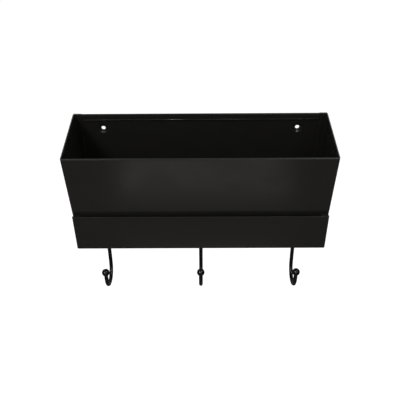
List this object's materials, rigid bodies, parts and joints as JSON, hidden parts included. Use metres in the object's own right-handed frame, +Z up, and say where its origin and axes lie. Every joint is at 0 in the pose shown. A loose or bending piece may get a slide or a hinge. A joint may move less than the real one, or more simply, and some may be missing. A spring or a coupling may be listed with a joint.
{
  "type": "wall mail organizer",
  "caption": "Open-topped sheet-steel wall pocket for letters, with a lower front band standing off its leaning front wall and ball-ended wire hooks below for keys.",
  "frame": {"origin": "the wall plane, midway between the two screw holes", "axes": "+X along the wall to the viewer's right, +Y into the wall, +Z up"},
  "size_m": [0.3, 0.128, 0.1787],
  "materials": {
    "sheet_paint": "satin black powder coat",
    "wire_paint": "semi-gloss black paint"
  },
  "bodies": {
    "root": {"back_and_bottom_panel": "sheet_paint", "front_and_sides_wrap": "sheet_paint", "front_band": "sheet_paint", "hook_wire_left": "wire_paint", "hook_wire_middle": "wire_paint", "hook_wire_right": "wire_paint", "hook_ball_left": "wire_paint", "hook_ball_middle": "wire_paint", "hook_ball_right": "wire_paint"}
  },
  "joints": []
}
